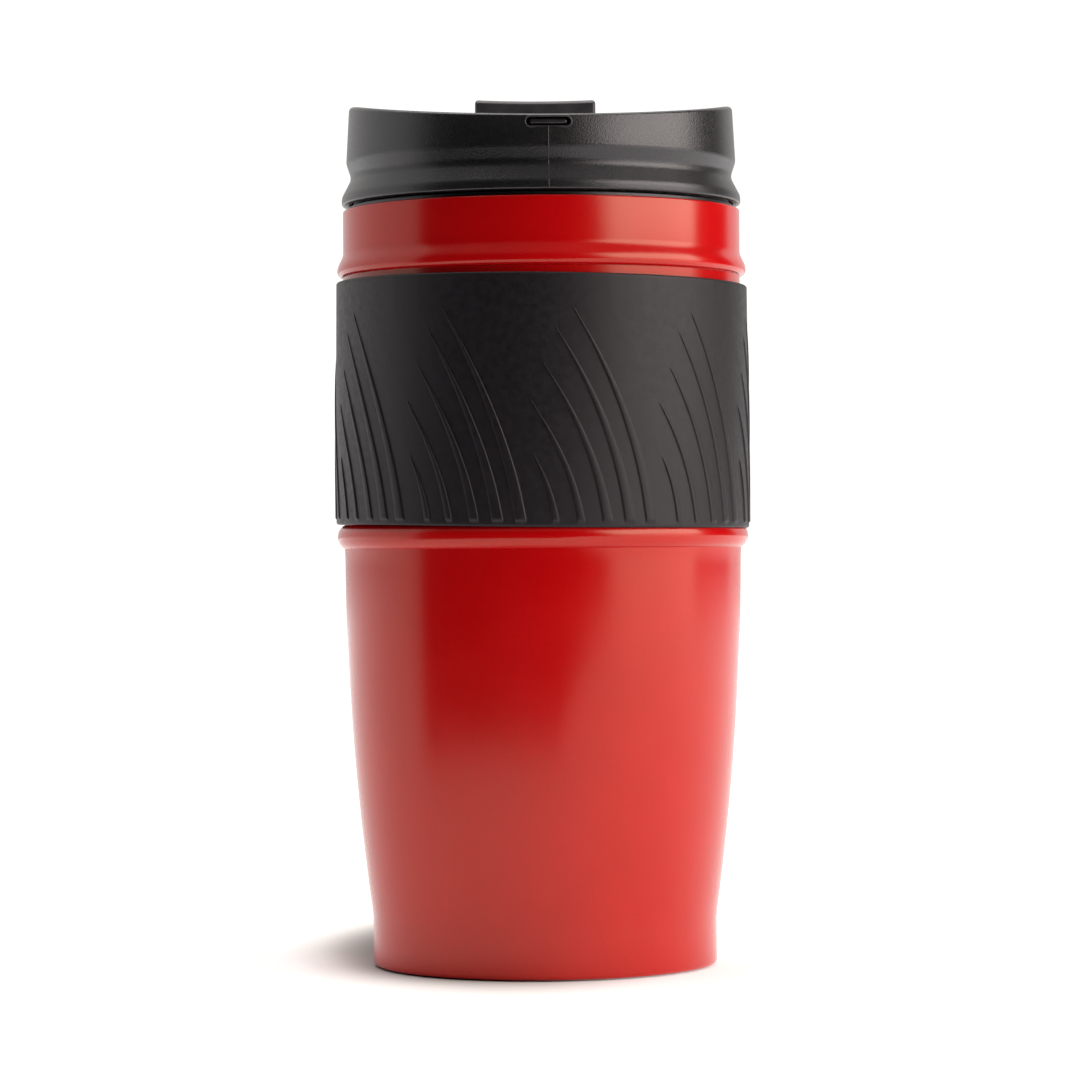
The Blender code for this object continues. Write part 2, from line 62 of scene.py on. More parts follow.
# Base pan and foot pad.
PAN_TOP, PAN_UNDER, PAN_LOW, PAN_RIM = 4.0, 3.0, 1.2, 1.0
PAN_FILLET, PAN_LOW_FILLET, PAN_UNDER_FILLET = 0.5, 0.45, 0.3
PAD_RADIUS, PAD_TOP, PAD_TOP_FILLET, PAD_LOW_FILLET = 32.2, 2.7, 0.2, 0.5
PAD_EDGE, PAD_STEPS, PAD_RING, PAD_GROOVE = 1.2, 60, 1.25, 0.35
PAD_RINGS_FROM, PAD_RINGS_TO = 11.0, 27.0

# Grip sleeve. Its lower edge sags a little, most of all in front.
SLEEVE_BOTTOM, SLEEVE_TOP, SLEEVE_BORE = 88.95, 137.6, 40.55
SLEEVE_TOP_RADIUS, SLEEVE_RADIUS, SLEEVE_FULL_Z = 41.62, 41.84, 108.0
SLEEVE_TILT, SLEEVE_FILLET, SLEEVE_CHAMFER = 0.55, 0.45, 0.8
SLEEVE_ROW, SLEEVE_ROWS_BELOW, SLEEVE_ROWS_ABOVE = 0.4, 1.0, 1.4
SAG_ROUND, SAG_FRONT, SAG_FROM_Z, SAG_TO_Z = 0.25, 0.4, 89.5, 97.0
# Ribs: a run goes from 0 at the tip to 1 at the foot.
RIB_HEIGHT, RIB_FOOT_Z, RIB_GROUPS, RIB_BEND = 0.26, 89.9, 10, 0.62
RIB_TAPER, RIB_LEAST_DEG, RIB_SIDE = 0.75, 0.35, 0.14
RIB_FOOT_RISE = (0.35, 0.2, 0.08, 0.0)        # rows over which a rib's foot rises
RIB_TIP_RUN, RIB_LOW_RUN, RIB_LOW = 0.03, 0.3, 0.45
GAP_COLUMNS = (0.3, 0.7)                      # plain columns between two ribs
# Ribs of one group: tip angle, tip height, foot angle, foot width.
RIBS = [(-4.6, 102.3, 0.5, 1.25), (-5.6, 113.0, 7.1, 1.45), (-1.9, 119.9, 14.0, 1.95),
        (1.2, 127.1, 20.2, 2.3), (5.9, 131.0, 26.4, 2.3)]
# A rib's section: share of its width, share of its height.
RIB_SECTION = [(-0.14, 0.0), (-0.03, 0.0), (0.0, 0.1), (0.04, 0.85), (0.1, 1.0), (0.5, 1.04),
               (0.88, 1.0), (0.95, 0.85), (1.0, 0.1), (1.04, 0.0), (1.14, 0.0)]

# Cup, collar, threaded ring and thread.
CUP_FLOOR, CUP_WALL, CUP_INSET, CUP_CORNER, CUP_TOP = 8.5, 0.9, 3.7, 6.0, 139.0
CUP_LIP_FILLET, CUP_CORNER_ROOM = 0.3, 1.4
COLLAR_TOP, COLLAR_BORE, COLLAR_FLANGE, COLLAR_OUTER = 153.4, 37.4, 38.95, 38.9
COLLAR_CREST, PLUG_CREST, PLUG_RADIUS, PLUG_WALL, PLUG_BOTTOM = 36.4, 36.95, 35.7, 1.8, 142.0
COLLAR_HOOK, COLLAR_SEAT, COLLAR_SEAT_SLOPE = 4.5, 1.5, 0.8
COLLAR_EDGE, COLLAR_LIP_FILLET, COLLAR_SEAT_FILLET = 0.2, 0.35, 0.3
PLUG_PLAIN, PLUG_TOP_FILLET, PLUG_LOW_FILLET = 7.0, 0.2, 0.35
THREAD = {"lead": 8.0, "starts": 2, "turn": 0.75, "root": 1.4, "crest": 0.7, "z": 144.0,
          "runout": 0.12, "blunt": 0.1}
COLLAR_LEAD_IN, THREAD_ROW, THREAD_MARGIN = -0.125, 0.2, 0.6
COLLAR_ROWS_FROM, PLUG_ROWS_FROM, PLUG_ROWS_TO = 1.4, 7.6, 0.5

# Lid and gasket. The rim outside DIP_BORE is lowered in front.
RIM_Z, RIM_RADIUS, RIM_DIP, DIP_SHARPNESS = 173.8, 38.83, 5.4, 1.2
BULGE_Z, BULGE_RADIUS, WAIST_Z, WAIST_RADIUS = 162.3, 39.47, 159.1, 38.42
SKIRT_RADIUS, SKIRT_TOP, SKIRT_BORE = 40.42, 155.3, 38.9
RIM_INNER_FILLET, RIM_FILLET, BULGE_FILLET, WAIST_FILLET = 0.6, 1.0, 3.0, 2.4
SKIRT_FILLET, SKIRT_EDGE, DISH_FILLET = 2.4, 0.4, 1.2
DIP_BORE, SEAM_BORE, SEAM_SCALE = 20.0, 38.3, 1.0010
SEAM_COLUMNS_DEG = (-0.25, -0.12, 0.0, 0.12, 0.25)
DISH_RADIUS, DECK_Z, DECK_THICKNESS = 36.6, 162.3, 1.8
LID_SHOULDER, LID_BORE, GASKET_RADIUS, GASKET_GROOVE = 155.6, 36.0, 38.4, 0.4
GASKET_FILLET, GASKET_BORE_FILLET, GASKET_GROOVE_FILLET = 0.5, 0.3, 0.2
SIP_Y, SIP_LENGTH, SIP_WIDTH, VENT_Y, VENT_RADIUS = 26.0, 14.0, 8.0, 12.0, 1.5

# Hinge, flip cap, thumb tab, seals and catch.
HINGE_Z, PIN_RADIUS, PIN_HALF, PIN_DOME_DEG, PIN_DOME = 168.8, 1.2, 14.6, 50.0, 0.95
LUG_INNER, LUG_OUTER, LUG_RADIUS, LUG_EDGE = 10.2, 14.2, 3.2, 0.35
LUG_FLARE, LUG_ROOT = 0.6, 0.9
BARREL_RADIUS, BARREL_HALF, BARREL_EDGE, BARREL_GAP, NECK_STEP = 2.6, 9.5, 0.3, 0.35, 0.2
CAP_RADIUS, CAP_NEAR_Y, CAP_BOTTOM, CAP_TOP = 36.0, 4.4, 169.1, 171.4
CAP_EDGE, VENT_POST_RADIUS = 0.45, 2.1
TAB_HALF, TAB_TOP, TAB_TOP_Y, TAB_FOOT_Y, TAB_BACK_Y = 12.65, 178.5, 29.2, 24.5, 33.2
# The tab's front, from the cap up: y from its foot or its top, height over the cap.
TAB_FRONT_LOW, TAB_FRONT_HIGH = ((-0.8, 0.15), (0.6, 0.75)), ((-3.0, 2.4), (-1.5, 4.8))
TAB_ROOT, TAB_CROWN_FROM, TAB_CROWN_TO = 1.4, 0.9, 1.8
TAB_CROWN_FILLET, TAB_BACK_FILLET, TAB_EDGE, TAB_SCOOP, TAB_SLICES = 1.5, 0.7, 0.7, 0.3, 13
SEAL_BOTTOM, SEAL_TOP, SEAL_EDGE = 162.7, 164.6, 0.45
SIP_PAD_LENGTH, SIP_PAD_WIDTH, VENT_PAD_RADIUS = 19.0, 12.5, 3.2
CATCH_Z, CATCH_Y, CATCH_HALF, CATCH_RADIUS = 166.85, -38.05, 3.2, 0.6
SLOT_LENGTH, SLOT_HEIGHT, SLOT_BACK, SLOT_DEPTH = 9.0, 2.1, 37.2, 4.0
LIP_WALL, LIP_TUBE, LIP_LIFT = 38.98, 0.2, 0.05
CUT_BELOW, CUT_ABOVE, CUT_HALF = 4.0, 2.0, 20.0        # how far the cutters reach


# ================================================================ studio, in metres and degrees

CAMERA_AZIMUTH = -2.2         # from the front, towards -X
CAMERA_DISTANCE, EYE_HEIGHT, CAMERA_LENS = 0.812, 0.0849, 133.3
AIM_RIGHT, AIM_UP, CAMERA_ROLL = -0.0006, 0.0010, 0.33

WARM, PALE = (1.0, 0.93, 0.84), (1.0, 0.97, 0.92)
LIGHT_AIM_Z = 0.09
# Name, azimuth, elevation, distance, width, height, power, tint, fade.
LIGHTS = [("key_right", 62.0, 19.5, 1.3, 1.75, 1.05, 14.5, WARM, 0.25),
          ("key_middle", 62.0, 23.0, 1.25, 1.68, 0.58, 7.0, WARM, 0.25),
          ("overhead", 180.0, 82.0, 1.1, 1.2, 0.9, 10.0, PALE, 0.0)]

# The floor ends near the mug in front, between the angles of FLOOR_TURNS.
FLOOR_FRONT, FLOOR_REACH, FLOOR_STEP, FLOOR_TURNS = 0.27, 3.0, 6, (-79, -78, 5, 55)
FLOOR_LEVEL, FLOOR_Z, FLOOR_ROUGHNESS = 0.78, -0.0001, 0.9
# A soft shade round the foot, with its distances squashed along Y.
SHADE_CENTRE, SHADE_SQUASH = (-0.010, 0.016, 0.0), (1.0, 0.46, 1.0)
SHADE_FROM, SHADE_TO, SHADE_LEVEL = 0.024, 0.038, 0.28
# The floor's own glow: none by the foot, some round it, more far behind and aside.
GLOW_NEAR, GLOW_WIDE, GLOW_BACK, GLOW_ASIDE = 0.0, 0.4, 0.8, 0.75
GLOW_NEAR_FROM, GLOW_NEAR_TO, GLOW_BACK_FROM, GLOW_BACK_TO = 0.030, 0.046, 0.1, 2.2

WHITE_CENTRE_DEG = 208.5      # the white backdrop's middle, from the front
WHITE_FROM, WHITE_TO, SKY_FROM, SKY_TO = 0.24, 0.30, 0.45, 0.75
# Levels of the surroundings: camera's side, backdrop, overhead, and as the camera sees them.
DARK_LEVEL, WHITE_LEVEL, SKY_LEVEL, BACKGROUND_LEVEL = 0.015, 0.85, 0.2, 1.1
WORLD_TINT = (1.0, 0.985, 0.96, 1.0)


# ================================================================ mesh helpers

def from_bmesh(name, bm, sharp_deg=38.0):
    """Close, orient and shade a bmesh given in millimetres, as an object in metres."""
    bmesh.ops.remove_doubles(bm, verts=bm.verts, dist=1e-4)
    bmesh.ops.recalc_face_normals(bm, faces=bm.faces)
    bmesh.ops.scale(bm, vec=(MM, MM, MM), verts=bm.verts)
    mesh = bpy.data.meshes.new(name)
    bm.to_mesh(mesh)
    bm.free()
    mesh.shade_smooth()
    mesh.set_sharp_from_angle(angle=math.radians(sharp_deg))
    item = bpy.data.objects.new(name, mesh)
    scene.collection.objects.link(item)
    return item


def grid_bmesh(points, close_rows=True, close_columns=True):
    """A bmesh of quads over a rows by columns array of points."""
    rows, columns = points.shape[:2]
    bm = bmesh.new()
    verts = [bm.verts.new(point) for point in points.reshape(-1, 3)]
    for row in range(rows if close_rows else rows - 1):
        base, above = row * columns, (row + 1) % rows * columns
        for column in range(columns if close_columns else columns - 1):
            beside = (column + 1) % columns
            corners = [verts[base + column], verts[base + beside], verts[above + beside],
                       verts[above + column]]
            bm.faces.new(corners)
    return bm


def round_angles(count=FINE, extra=()):
    """Angles round a circle, with any extra ones, in radians."""
    even = np.arange(count) * 2.0 * math.pi / count
    return np.unique(np.concatenate([even, np.asarray(extra, float) % (2.0 * math.pi)]))


def revolve(name, section, angles=None, warp=None, sharp_deg=38.0):
    """Sweep a closed section of (radius, height) points round Z."""
    angles = round_angles() if angles is None else angles
    radius, height = np.array(section, float).T
    points = np.stack([radius[:, None] * np.cos(angles), radius[:, None] * np.sin(angles),
                       np.repeat(height[:, None], len(angles), axis=1)], axis=2)
    if warp:
        points = warp(points, angles)
    bm = grid_bmesh(points, close_rows=section[0][0] > 1e-6 or section[-1][0] > 1e-6)
    return from_bmesh(name, bm, sharp_deg)


def arc(radius, start_deg, end_deg, steps, centre=(0.0, 0.0)):
    """Points along an arc, both ends included."""
    angles = np.radians(np.linspace(start_deg, end_deg, steps + 1))
    return [(centre[0] + radius * math.cos(a), centre[1] + radius * math.sin(a)) for a in angles]


def rounded(corners, steps=5):
    """Round the corners of an outline of (x, y, fillet) triples."""
    points = []
    for index, (x, y, fillet) in enumerate(corners):
        corner = Vector((x, y))
        if not fillet:
            points.append((x, y))
            continue
        before = (Vector(corners[index - 1][:2]) - corner).normalized()
        after = (Vector(corners[(index + 1) % len(corners)][:2]) - corner).normalized()
        half_angle = before.angle(after) / 2.0
        centre = corner + (before + after).normalized() * fillet / math.sin(half_angle)
        start = corner + before * fillet / math.tan(half_angle) - centre
        end = corner + after * fillet / math.tan(half_angle) - centre
        sweep = start.angle_signed(end)
        for turn in np.linspace(0.0, -sweep, steps + 1):
            spoke = Matrix.Rotation(turn, 2) @ start
            points.append((centre.x + spoke.x, centre.y + spoke.y))
    return points


def oblong(length, width, steps=14, centre_y=0.0):
    """Outline of a slot with round ends, its long way along X."""
    reach = (length - width) / 2.0
    return (arc(width / 2.0, -90.0, 90.0, steps, (reach, centre_y))
            + arc(width / 2.0, 90.0, 270.0, steps, (-reach, centre_y)))


def slab(name, outline, low, high, edge=0.0, sharp_deg=38.0):
    """A plate over an (x, y) outline, with rounded upper and lower edges."""
    bm = bmesh.new()
    face = bm.faces.new([bm.verts.new((x, y, low)) for x, y in outline])
    raised = bmesh.ops.extrude_face_region(bm, geom=[face])["geom"]
    for vert in [part for part in raised if isinstance(part, bmesh.types.BMVert)]:
        vert.co.z = high
    bmesh.ops.remove_doubles(bm, verts=bm.verts, dist=1e-4)
    if edge:
        rims = [e for e in bm.edges if abs(e.verts[0].co.z - e.verts[1].co.z) < 1e-6]
        bmesh.ops.bevel(bm, geom=rims, offset=edge, segments=3, profile=0.5, affect="EDGES")
    return from_bmesh(name, bm, sharp_deg)


def bar_along_x(name, outline, low, high, edge=0.0, slices=2, bend=None):
    """Extrude a (y, z) outline along X in slices, with rounded end edges."""
    stations = np.linspace(low, high, slices)
    bm = bmesh.new()
    rings = [[bm.verts.new((x, y, z)) for y, z in outline] for x in stations]
    for near, far in zip(rings, rings[1:]):
        for index in range(len(outline)):
            bm.faces.new((near[index - 1], near[index], far[index], far[index - 1]))
    ends = [bm.faces.new(rings[0]), bm.faces.new(rings[-1])]
    if edge:
        bmesh.ops.recalc_face_normals(bm, faces=bm.faces)
        rims = [e for face in ends for e in face.edges]
        bmesh.ops.bevel(bm, geom=rims, offset=edge, segments=4, profile=0.5, affect="EDGES")
    if bend:
        for vert in bm.verts:
            vert.co = bend(vert.co)
    return from_bmesh(name, bm)


def circle(radius, centre=(0.0, 0.0), steps=40):
    """Outline of a circle."""
    return arc(radius, 0.0, 360.0 - 360.0 / steps, steps - 1, centre)


def cut(target, *tools, operation="DIFFERENCE", sharp_deg=38.0):
    """Cut tools from the target, or join them on, and keep the result as its mesh."""
    for tool in tools:
        modifier = target.modifiers.new(tool.name, "BOOLEAN")
        modifier.operation = operation
        modifier.solver = "EXACT"
        modifier.object = tool
    evaluated = target.evaluated_get(bpy.context.evaluated_depsgraph_get())
    mesh = bpy.data.meshes.new_from_object(evaluated)
    target.modifiers.clear()
    target.data = mesh
    for tool in tools:
        bpy.data.objects.remove(tool, do_unlink=True)
    mesh.shade_smooth()
    mesh.set_sharp_from_angle(angle=math.radians(sharp_deg))
    return target


# ================================================================ material helpers

def add_node(tree, kind, **values):
    """A new node with its settings."""
    made = tree.nodes.new(kind)
    for key, value in values.items():
        setattr(made, key, value)
    return made


def smooth_step(tree, value, low, high, to_low, to_high):
    """Map a value onto a range with soft ends."""
    step = add_node(tree, "ShaderNodeMapRange", interpolation_type="SMOOTHSTEP")
    for key, number in (("From Min", low), ("From Max", high), ("To Min", to_low),
                        ("To Max", to_high)):
        step.inputs[key].default_value = number
    tree.links.new(value, step.inputs["Value"])
    return step.outputs["Result"]


def vector_math(tree, operation, first, second):
    """A vector node of a linked vector and a fixed one."""
    made = add_node(tree, "ShaderNodeVectorMath", operation=operation)
    tree.links.new(first, made.inputs[0])
    made.inputs[1].default_value = second
    return made


class Surface:
    """A Principled material and the nodes that give it its detail."""

    def __init__(self, name, roughness, metallic=0.0):
        self.material = bpy.data.materials.new(name)
        self.material.use_nodes = True
        self.tree = self.material.node_tree
        self.shader = self.tree.nodes["Principled BSDF"]
        self.set(Roughness=roughness, Metallic=metallic)
        self.coords = self.tree.nodes.new("ShaderNodeTexCoord").outputs["Object"]

    def set(self, **values):
        """Set the shader's own sockets; an underscore stands for a space."""
        for key, value in values.items():
            self.shader.inputs[key.replace("_", " ")].default_value = value

    def link(self, output, target):
        """Join an output to an input."""
        self.tree.links.new(output, target)

    def stretched(self, scale):
        """Object coordinates scaled per axis."""
        mapping = self.tree.nodes.new("ShaderNodeMapping")
        mapping.inputs["Scale"].default_value = scale
        self.link(self.coords, mapping.inputs["Vector"])
        return mapping.outputs["Vector"]

    def noise(self, scale, detail=3.0, roughness=0.5, vector=None):
        """Noise, in cells a metre."""
        node = self.tree.nodes.new("ShaderNodeTexNoise")
        node.inputs["Scale"].default_value = scale
        node.inputs["Detail"].default_value = detail
        node.inputs["Roughness"].default_value = roughness
        self.link(vector or self.coords, node.inputs["Vector"])
        return node.outputs["Fac"]

    def cells(self, scale, smooth=0.5):
        """Rounded cells, a metre."""
        node = self.tree.nodes.new("ShaderNodeTexVoronoi")
        node.feature = "SMOOTH_F1"
        node.inputs["Scale"].default_value = scale
        node.inputs["Smoothness"].default_value = smooth
        self.link(self.coords, node.inputs["Vector"])
        return node.outputs["Distance"]

    def ramp(self, value, stops):
        """Colours from (position, colour) stops."""
        node = self.tree.nodes.new("ShaderNodeValToRGB")
        elements = node.color_ramp.elements
        while len(elements) < len(stops):
            elements.new(0.5)
        for element, (position, color) in zip(elements, stops):
            element.position = position
            element.color = (*color, 1.0)
        self.link(value, node.inputs["Fac"])
        return node.outputs["Color"]

    def span(self, value, low, high, from_low=0.3, from_high=0.7):
        """Map a value onto a range."""
        node = self.tree.nodes.new("ShaderNodeMapRange")
        for key, number in (("From Min", from_low), ("From Max", from_high), ("To Min", low),
                            ("To Max", high)):
            node.inputs[key].default_value = number
        self.link(value, node.inputs["Value"])
        return node.outputs["Result"]

    def math(self, operation, first, second):
        """Sum or product of two values or numbers."""
        node = self.tree.nodes.new("ShaderNodeMath")
        node.operation = operation
        for socket, value in zip(node.inputs, (first, second)):
            if isinstance(value, (int, float)):
                socket.default_value = value
            else:
                self.link(value, socket)
        return node.outputs["Value"]

    def bump(self, height, distance, strength=1.0, before=None):
        """Add a bump of a height field, distance in metres, and chain it."""
        node = self.tree.nodes.new("ShaderNodeBump")
        node.inputs["Distance"].default_value = distance
        node.inputs["Strength"].default_value = strength
        self.link(height, node.inputs["Height"])
        if before:
            self.link(before, node.inputs["Normal"])
        self.link(node.outputs["Normal"], self.shader.inputs["Normal"])
        return node.outputs["Normal"]

    def color(self, output):
        """Link the base colour."""
        self.link(output, self.shader.inputs["Base Color"])

    def roughness(self, output):
        """Link the roughness."""
        self.link(output, self.shader.inputs["Roughness"])


def red_paint():
    """Glossy red lacquer over steel, with a fine orange peel."""
    s = Surface("red_lacquer", 0.25)
    s.set(IOR=1.5, Specular_Tint=(1.0, 1.0, 0.80, 1.0))
    peel = s.noise(2200.0, 3.0, 0.6)
    cloud = s.noise(60.0, 3.0, 0.55)
    mixed = s.math("ADD", s.math("MULTIPLY", peel, 0.5), s.math("MULTIPLY", cloud, 0.5))
    s.color(s.ramp(mixed, [(0.36, (0.475, 0.0010, 0.0024)), (0.50, (0.50, 0.0014, 0.0030)),
                           (0.64, (0.525, 0.0022, 0.0038))]))
    s.roughness(s.span(mixed, 0.16, 0.23))
    fine = s.bump(peel, 0.000012, 0.4)
    s.bump(s.noise(500.0, 2.0), 0.000006, 0.4, fine)
    return s.material


def pebbled_black():
    """Black moulded plastic with a fine pebbled grain."""
    s = Surface("pebbled_black", 0.5)
    s.set(IOR=1.62, Specular_Tint=(0.95, 0.92, 1.0, 1.0))
    cells = s.cells(3000.0)
    speck = s.noise(2700.0, 2.0, 0.6)
    mixed = s.math("ADD", s.math("MULTIPLY", cells, 0.6), s.math("MULTIPLY", speck, 0.6))
    s.color(s.ramp(speck, [(0.30, (0.0050, 0.0050, 0.0053)), (0.55, (0.0085, 0.0083, 0.0086)),
                           (0.75, (0.014, 0.014, 0.014))]))
    s.roughness(s.span(speck, 0.28, 0.38))
    s.bump(mixed, 0.000055, 0.7)
    return s.material


def smooth_black():
    """Black plastic with a satin, slightly worn gloss."""
    s = Surface("smooth_black", 0.25)
    s.set(IOR=1.6, Specular_Tint=(0.95, 0.92, 1.0, 1.0))
    haze = s.noise(220.0, 4.0, 0.6)
    s.color(s.ramp(haze, [(0.35, (0.015, 0.0145, 0.015)), (0.7, (0.025, 0.024, 0.025))]))
    s.roughness(s.span(haze, 0.26, 0.38))
    s.bump(s.noise(1400.0, 2.0), 0.00001, 0.4)
    return s.material


def silicone_black():
    """Matte black silicone with a soft, dusty bloom."""
    s = Surface("silicone_black", 0.6)
    s.set(IOR=1.42, Specular_Tint=(1.0, 0.93, 1.0, 1.0))
    dust = s.noise(700.0, 4.0, 0.65)
    s.color(s.ramp(dust, [(0.3, (0.0058, 0.0050, 0.0064)), (0.7, (0.0090, 0.0078, 0.0100))]))
    s.roughness(s.span(dust, 0.42, 0.56))
    s.bump(s.noise(4200.0, 3.0, 0.6), 0.000025, 0.6)
    return s.material


def brushed_steel():
    """Stainless steel brushed round the axis."""
    s = Surface("brushed_steel_fine", 0.3, 1.0)
    grain = s.noise(1.0, 4.0, 0.6, s.stretched((20.0, 20.0, 3800.0)))
    s.color(s.ramp(grain, [(0.3, (0.50, 0.50, 0.51)), (0.7, (0.68, 0.68, 0.69))]))
    s.roughness(s.span(grain, 0.22, 0.4))
    s.bump(grain, 0.000012, 0.6)
    return s.material


def spun_steel():
    """Bright steel of the pin and the base pan."""
    s = Surface("spun_steel", 0.28, 1.0)
    grain = s.noise(160.0, 5.0, 0.6)
    s.color(s.ramp(grain, [(0.3, (0.46, 0.46, 0.47)), (0.7, (0.64, 0.64, 0.65))]))
    s.roughness(s.span(grain, 0.22, 0.42))
    s.bump(s.noise(1500.0, 3.0), 0.00001, 0.5)
    return s.material


def grey_seal():
    """Soft grey silicone of the seals."""
    s = Surface("grey_silicone", 0.5)
    s.set(IOR=1.42, Subsurface_Weight=0.05)
    dust = s.noise(900.0, 4.0, 0.6)
    s.color(s.ramp(dust, [(0.3, (0.13, 0.13, 0.135)), (0.7, (0.18, 0.18, 0.185))]))
    s.roughness(s.span(dust, 0.42, 0.58))
    s.bump(s.noise(3000.0, 3.0), 0.00002, 0.5)
    return s.material


def foot_rubber():
    """Black rubber of the foot pad."""
    s = Surface("foot_rubber", 0.7)
    s.set(IOR=1.45)
    dust = s.noise(500.0, 5.0, 0.65)
    s.color(s.ramp(dust, [(0.3, (0.018, 0.018, 0.018)), (0.7, (0.034, 0.033, 0.032))]))
    s.roughness(s.span(dust, 0.6, 0.8))
    s.bump(s.noise(3200.0, 3.0), 0.00004, 0.6)
    return s.material


# ================================================================ the mug

def belly(z):
    """Outer radius of the shell below the lower bead."""
    below = max(0.0, BELLY_Z - z)
    return max(FOOT_RADIUS, BELLY_RADIUS - below * below / (2.0 * BELLY_CURVE))


def lower_bead_points():
    """The rounded bead below the sleeve."""
    half, height = LOWER_BEAD["half"], LOWER_BEAD["height"]
    radius = (half * half + height * height) / (2.0 * height)
    reach = math.degrees(math.asin(half / radius))
    return arc(radius, reach, -reach, 18, (WALL_RADIUS + height - radius, LOWER_BEAD["z"]))


def upper_bead_points():
    """The bead above the sleeve: a gentle slope over a short undercut."""
    peak, height = UPPER_BEAD["z"], UPPER_BEAD["height"]
    slope = [(WALL_RADIUS + height * math.cos(share * math.pi / 2.0) ** 2,
              peak + share * UPPER_BEAD["slope"]) for share in np.linspace(1.0, 0.0, 13)]
    under = [(WALL_RADIUS + height * math.cos(turn), peak - UPPER_BEAD["undercut"] * math.sin(turn))
             for turn in np.linspace(0.0, math.pi / 2.0, 9)[1:]]
    return slope + under


def make_shell():
    """The red outer wall."""
    bore, foot_bore = WALL_RADIUS - SHELL_WALL, FOOT_RADIUS - SHELL_WALL
    section = rounded([(bore, SHELL_TOP, 0.0), (WALL_RADIUS, SHELL_TOP, SHELL_LIP_FILLET),
                       (WALL_RADIUS, UPPER_BEAD["z"], 0.0)])[:-1]
    section += upper_bead_points() + lower_bead_points()
    low = LOWER_BEAD["z"] - LOWER_BEAD["half"]
    section += [(belly(z), z) for z in np.linspace(low, FOOT_BAND_TOP, 40)[1:]]
    section += rounded([(FOOT_RADIUS, FOOT_BAND_TOP, 0.0),
                        (FOOT_RADIUS, SHELL_FOOT, SHELL_FOOT_FILLET),
                        (foot_bore, SHELL_FOOT, 0.0)])[1:]
    section += [(belly(z) - SHELL_WALL, z) for z in np.linspace(FOOT_BAND_TOP, BELLY_Z, 12)]
    return revolve("shell_wall", section)


def make_base_pan():
    """Pressed steel pan with a rolled rim."""
    radius = FOOT_RADIUS - SHELL_WALL - GAP
    inner = radius - PAN_RIM
    section = rounded([(0.0, PAN_TOP, 0.0), (radius, PAN_TOP, PAN_FILLET),
                       (radius, PAN_LOW, PAN_LOW_FILLET), (inner, PAN_LOW, PAN_LOW_FILLET),
                       (inner, PAN_UNDER, PAN_UNDER_FILLET), (0.0, PAN_UNDER, 0.0)])
    return revolve("base_pan", section, round_angles(MIDDLE))


def make_foot():
    """Rubber pad with pressed rings on its underside."""
    flat = PAD_RADIUS - PAD_EDGE
    under = []
    for index in range(PAD_STEPS + 1):
        across = flat - index * flat / PAD_STEPS
        wave = math.sin(across / PAD_RING * math.pi)
        ringed = PAD_RINGS_FROM < across < PAD_RINGS_TO
        under.append((across, PAD_GROOVE * max(0.0, wave) ** 0.5 if ringed else 0.0))
    section = rounded([(0.0, PAD_TOP, 0.0), (PAD_RADIUS, PAD_TOP, PAD_TOP_FILLET),
                       (PAD_RADIUS, 0.0, PAD_LOW_FILLET), (0.0, 0.0, 0.0)])
    return revolve("rubber_foot", section[:-1] + under, round_angles(MIDDLE), sharp_deg=30.0)


def make_liner():
    """The steel cup."""
    bottom = CUP_FLOOR - CUP_WALL
    heights = np.linspace(CUP_FLOOR + CUP_CORNER_ROOM * CUP_CORNER, BELLY_Z, 12)
    outer = [(belly(z) - CUP_INSET, z) for z in heights]
    inner = [(radius - CUP_WALL, z) for radius, z in outer]
    rim, foot = outer[-1][0], belly(bottom) - CUP_INSET
    section = rounded([(rim - CUP_WALL, CUP_TOP, CUP_LIP_FILLET), (rim, CUP_TOP, CUP_LIP_FILLET),
                       (*outer[-1], 0.0)])
    section = section[:-1] + outer[::-1]
    section += rounded([(*outer[0], 0.0), (foot, bottom, CUP_CORNER), (0.0, bottom, 0.0)], 8)[1:]
    section += rounded([(0.0, CUP_FLOOR, 0.0),
                        (foot - CUP_WALL, CUP_FLOOR, CUP_CORNER - CUP_WALL),
                        (*inner[0], 0.0)], 8)[:-1]
    return revolve("cup_liner", section + inner, round_angles(MIDDLE))


def thread_height(angles, z, first_turn, offset):
    """Share of a thread's full height at each angle, for one height z."""
    share = np.zeros(len(angles))
    for start in range(THREAD["starts"]):
        for wrap in (-1, 0, 1, 2):
            turn = angles / (2.0 * math.pi) - start / THREAD["starts"] + wrap
            along = (turn - first_turn) / THREAD["turn"]
            away = np.abs(z - (THREAD["z"] + offset + THREAD["lead"] * turn))
            flank = (THREAD["root"] / 2.0 - away) / ((THREAD["root"] - THREAD["crest"]) / 2.0)
            end = np.minimum(along, 1.0 - along) / THREAD["runout"] + THREAD["blunt"]
            ridge = np.clip(flank, 0.0, 1.0) * np.clip(end, 0.0, 1.0)
            share = np.maximum(share, np.where((along >= 0.0) & (along <= 1.0), ridge, 0.0))
    return share


def threaded(root, crest, low, high, first_turn, offset):
    """A warp that raises the thread on a turned piece's rows between two heights."""
    def warp(points, angles):
        for row in points:
            z = row[0, 2]
            if abs(math.hypot(row[0, 0], row[0, 1]) - root) < 0.01 and low < z < high:
                share = thread_height(angles, z, first_turn, offset)
                radius = root + (crest - root) * share
                row[:, 0], row[:, 1] = radius * np.cos(angles), radius * np.sin(angles)
        return points
    return warp


